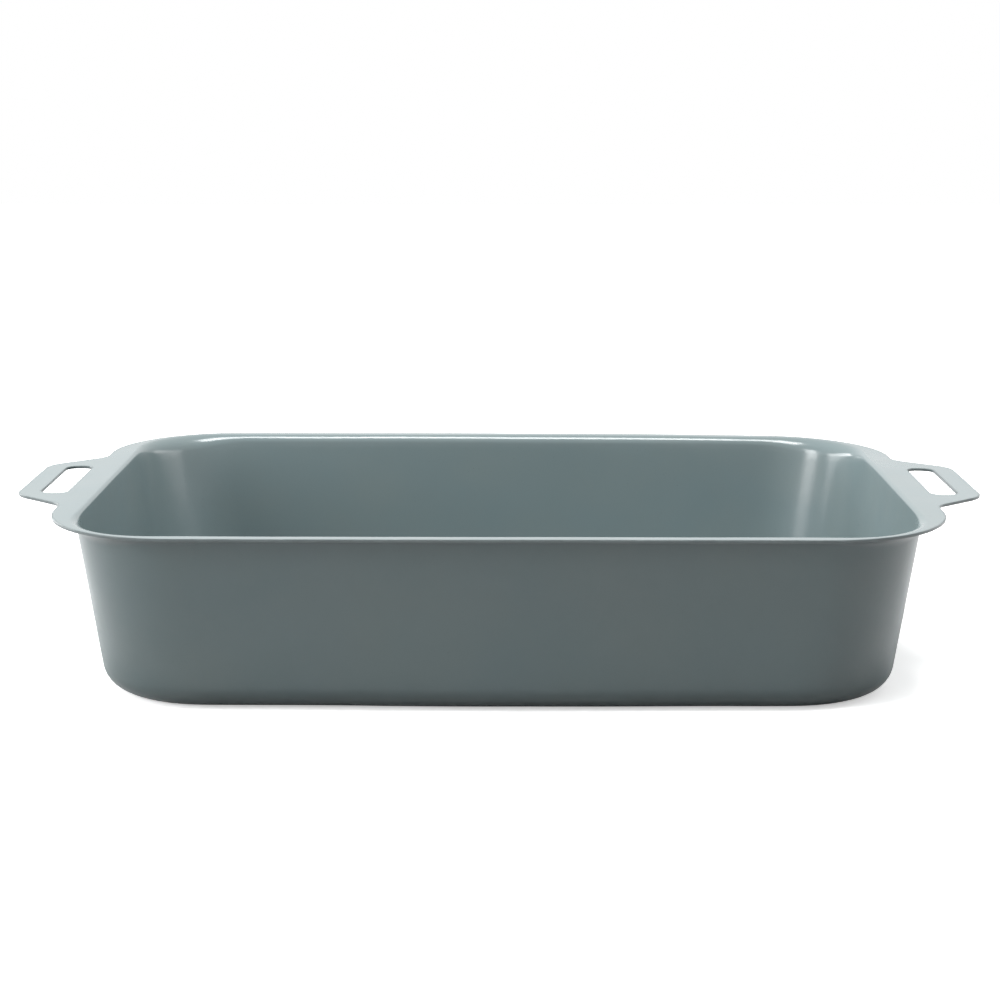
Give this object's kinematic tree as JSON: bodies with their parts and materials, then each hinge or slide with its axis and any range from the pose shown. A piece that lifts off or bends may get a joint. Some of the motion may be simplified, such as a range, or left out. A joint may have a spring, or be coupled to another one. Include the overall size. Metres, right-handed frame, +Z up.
{
  "type": "lasagna dish",
  "caption": "Deep rectangular lasagna dish of enamelled pressed steel, with a narrow flange and a slotted tab handle at each end.",
  "frame": {"origin": "middle of the underside, on the surface that the dish stands on", "axes": "+X runs along the dish from the left handle to the right one, +Y across it, +Z up out of its mouth"},
  "size_m": [0.422, 0.244, 0.075],
  "materials": {
    "steel": "satin",
    "outer_coat": "satin",
    "inner_coat": "satin",
    "edge_coat": "satin"
  },
  "bodies": {
    "root": {"steel_pressing": "steel", "outer_enamel": "outer_coat", "inner_enamel": "inner_coat", "rim_edge_enamel": "edge_coat", "left_slot_enamel": "edge_coat", "right_slot_enamel": "edge_coat"}
  },
  "joints": []
}
